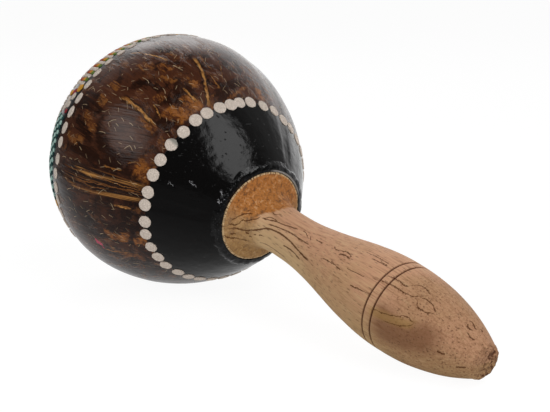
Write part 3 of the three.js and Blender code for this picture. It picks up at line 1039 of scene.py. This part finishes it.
def woodFinish():
    s = AxisSheet("spalted_wood", wood)
    woodGround(s)
    collarFace(s)
    woodPores(s)
    woodMarks(s)
    tornButt(s)
    normal = s.bump(s.streak * 0.12 + s.grit * (s.face + s.tail * 0.5) * 0.14 - s.pores * 0.14)
    sockets = {"Base Color": s.colour, "Roughness": 0.6 + s.streak * 0.2, "Normal": normal}
    return s.finish({**sockets, "IOR": handle["gloss"]})


turnedHandle = makeHandle()
dress(turnedHandle, woodFinish())
print("handle finished,", len(turnedHandle.data.polygons), "faces")


# bead of black filler

filler = {"black": "050505", "dust": "9a9a9c", "scuff": "a4a4a8", "glue": "a09a94"}


def beadOutline():
    foot = shoulderStation
    crest = foot + bead["height"]
    outline = [(foot, beadInner), (crest, beadInner)]
    outline += [(crest - drop, beadInner + out) for drop, out in bead["bulge"]]
    outline.append((foot, seatRadius + bead["skirt"]))
    for n, height in enumerate(bead["film"], 1):
        station = seatStation - bead["smear"] * n / len(bead["film"])
        outline.append((station, outsideRadius(station) + height))
    return outline + [(seatStation, seatRadius - bead["root"]), (foot, beadInner)]


def onBead(station, radius, angle):             # the collar keeps its side of the bead true
    return ramp(radius, beadInner + 0.2, seatRadius)


def makeBead():
    piece = turned("filler_bead", beadOutline(), bead["segments"])
    lump = weigh(piece, "lump", onBead)
    displace(piece, lump, *bead["lumps"])
    displace(piece, lump, *bead["ripples"])
    piece.vertex_groups.clear()
    smooth(piece, 50)
    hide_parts("collar_bead")
    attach(piece, "maraca")
    return piece


def fillerFinish():
    s = AxisSheet("black_filler", filler)
    dust = s.step(s.noise(s.stretched(0.6, 1.4), 1, 5, 0.7), 0.58, 0.7)
    s.colour = s.blend(dust * 0.2, "black", "dust")
    scuff = s.step(s.angle, -74, -66) * s.step(s.angle, -50, -58) * s.step(dust, 0.2, 0.6)
    s.coat(scuff * 0.7, "scuff")
    # glue showing along the bead's inner edge over the top, partly a painted highlight along the rim
    glue = s.step(s.angle, 2, 14) * s.step(s.angle, 75, 60)
    inner = s.step(s.radius, beadInner + 0.9, beadInner + 0.5)
    s.coat(glue * inner * 0.7, "glue")
    normal = s.bump(s.noise(s.spot, 0.6, 4) * 0.3)
    sockets = {"Base Color": s.colour, "Roughness": 0.16 + dust * 0.4, "Normal": normal}
    return s.finish({**sockets, "IOR": bead["gloss"]})


dress(makeBead(), fillerFinish())
print("bead laid")


# loose seeds
seed = {
    "radius": 4, "segments": 24, "rings": 14, "flat": (1, 0.93, 0.96), "dents": 0.02,
    "dark": "1d130c", "light": "4a3220", "mottle": 420,
}


def seedFinish():
    s = Sheet(bpy.data.materials.new("seed_coat"))
    place = s.add("ShaderNodeTexCoord", {}, {}, "Object")
    mottle = s.noise(place, seed["mottle"], 4, 0.6, 0.5)
    colour = s.mix(s.step(mottle, 0.4, 0.65), ink(seed["dark"]), ink(seed["light"]))
    normal = s.bump(mottle * 0.08)
    return s.finish({"Base Color": colour, "Roughness": 0.35 + mottle * 0.2, "Normal": normal})


def seedShape():
    bpy.ops.object.select_all(action="DESELECT")
    segments, rings, radius = seed["segments"], seed["rings"], seed["radius"] * mm
    bpy.ops.mesh.primitive_uv_sphere_add(segments=segments, ring_count=rings, radius=radius)
    shape = bpy.context.object
    shape.scale = seed["flat"]
    bpy.ops.object.transform_apply(scale=True)
    bpy.ops.object.mode_set(mode="EDIT")
    bpy.ops.mesh.select_all(action="SELECT")
    bpy.ops.transform.vertex_random(offset=seed["dents"] * mm, uniform=1, normal=1, seed=3)
    bpy.ops.object.mode_set(mode="OBJECT")
    smooth(shape, 60)
    dress(shape, seedFinish())
    return shape


def scatterSeeds(shape):
    for name in sorted(node for node in frame["nodes"] if node.startswith("seed_")):
        low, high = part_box(name)
        mesh = shape.data.copy()
        turn = Matrix.Rotation(anyTurn(), 4, "Z")
        mesh.transform(Matrix.Translation((low + high) / 2) @ turn)
        piece = bpy.data.objects.new(name + "_grain", mesh)
        bpy.context.scene.collection.objects.link(piece)
        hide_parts(name)
        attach(piece, name)


seedPattern = seedShape()
scatterSeeds(seedPattern)
print("seeds scattered")

for shape in bigShapes + smallShapes + [seedPattern]:
    bpy.data.objects.remove(shape)


# floor, lights and background
studio = {                                      # brightness of each side, and where it sets in
    "floorSize": 8, "floorWhite": 0.9, "glow": 1.06, "underlight": 0.38, "lift": 0.51, "gloss": 0.6,
    "nearGrey": 0.2, "nearEdge": (-0.2, 0.12), "leftEdge": (-0.2, -0.34),      # metres from the middle
    "front": 0.08, "frontEdge": (-0.3, 0.3), "left": 0.08, "right": 0.44, "rightEdge": (0.1, 0.8),
    "back": 1.32, "backTilt": 0.6, "backEdge": (0.5, 0.88), "backLeft": (-0.75, -0.4),
    "upper": 0.65, "upperEdge": (0.1, 0.45), "upperLeft": (-0.1, -0.35), "upperHeight": (0.4, 0.7),
}
towardCamera = Vector((-sight.x, -sight.y, 0)).normalized()
rightHand = Vector((-towardCamera.y, towardCamera.x, 0))


def grey(value):
    return [value, value, value, 1]


def makeFloor():
    bpy.ops.object.select_all(action="DESELECT")
    bpy.ops.mesh.primitive_plane_add(size=studio["floorSize"])
    floor = bpy.context.object
    floor.name = "floor"
    s = Sheet(bpy.data.materials.new("white_floor"))
    paper = s.add("ShaderNodeBsdfDiffuse", {}, {"Color": grey(studio["floorWhite"])})
    seen = s.add("ShaderNodeLightPath", {}, {}, "Is Camera Ray")
    place = s.add("ShaderNodeTexCoord", {}, {}, "Object")
    near = s.step(s.dot(place, towardCamera), *studio["nearEdge"])
    left = s.step(s.dot(place, rightHand), *studio["leftEdge"])
    dim = s.maths("MAXIMUM", near, left) * seen.also("Is Glossy Ray")      # only reflections see it
    tint = s.mix(dim, grey(1), grey(studio["nearGrey"]))
    glow = s.add("ShaderNodeEmission", {}, {"Color": tint, "Strength": studio["glow"]})
    mirrored = seen.also("Is Glossy Ray") + seen.also("Is Transmission Ray")
    share = studio["underlight"] + seen * studio["lift"] + mirrored * studio["gloss"]
    dress(floor, s.out(s.add("ShaderNodeMixShader", {}, {0: share, 1: paper, 2: glow})))


def softbox(name, right, toward, up, wide, darkSpots, radiance, aim=None):      # without an aim it faces down
    place = headCentre + rightHand * right + towardCamera * toward + Vector((0, 0, up))
    back = Vector((0, 0, 1)) if aim is None else (place - aim).normalized()
    across = (rightHand - back * rightHand.dot(back)).normalized()
    bpy.ops.object.select_all(action="DESELECT")
    bpy.ops.object.light_add(type="AREA", location=place)
    lamp = bpy.context.object
    lamp.name = name
    lamp.rotation_euler = Matrix((across, back.cross(across), back)).transposed().to_euler()
    lamp.data.shape = "RECTANGLE"
    lamp.data.size = wide
    lamp.data.size_y = darkSpots
    lamp.data.energy = radiance * math.pi * wide * darkSpots
    lamp.visible_camera = False
    return lamp


def makeWorld():
    s = Sheet(bpy.data.worlds.new("studio"))
    bpy.context.scene.world = s.owner
    way = s.add("ShaderNodeTexCoord", {}, {}, "Generated")
    facing = s.dot(way, -towardCamera)
    aside = s.dot(way, rightHand)
    side = studio["left"] + s.step(aside, *studio["rightEdge"]) * (studio["right"] - studio["left"])
    glow = studio["front"] + s.step(facing, *studio["frontEdge"]) * (side - studio["front"])
    behind = s.step(facing, *studio["backEdge"]) * s.step(aside, *studio["backLeft"])
    glow = glow + behind * (studio["back"] + aside * studio["backTilt"] - side)
    height = s.add("ShaderNodeSeparateXYZ", {}, {0: way}, "Z")
    upper = s.step(facing, *studio["upperEdge"]) * s.step(aside, *studio["upperLeft"])
    upper = upper * s.step(height, *studio["upperHeight"])
    glow = glow + upper * studio["upper"]       # soft sheen over the far shoulder
    seen = s.add("ShaderNodeLightPath", {}, {}, "Is Camera Ray")
    white = s.maths("MAXIMUM", seen + seen.also("Is Transmission Ray"), glow)
    light = s.add("ShaderNodeBackground", {}, {"Color": grey(1), "Strength": white})
    s.out(light, "ShaderNodeOutputWorld")


makeFloor()
middle = Vector((0, 0, 0.04))
fill = softbox("front_fill", right=0.35, toward=1.05, up=0.4, wide=0.9, darkSpots=0.6, radiance=1.1,
               aim=middle)
fill.visible_glossy = False                     # lightens the shaded sides and leaves the lacquer black
softbox("overhead_softbox", right=0.46, toward=0.76, up=0.8, wide=0.52, darkSpots=1.15, radiance=3.7)
softbox("left_softbox", right=-0.57, toward=0.46, up=0.45, wide=0.32, darkSpots=0.46, radiance=3.3,
        aim=headCentre)
softbox("back_softbox", right=-0.08, toward=-0.78, up=0.68, wide=0.5, darkSpots=0.5, radiance=1.8,
        aim=headCentre)
makeWorld()
print("studio lit")
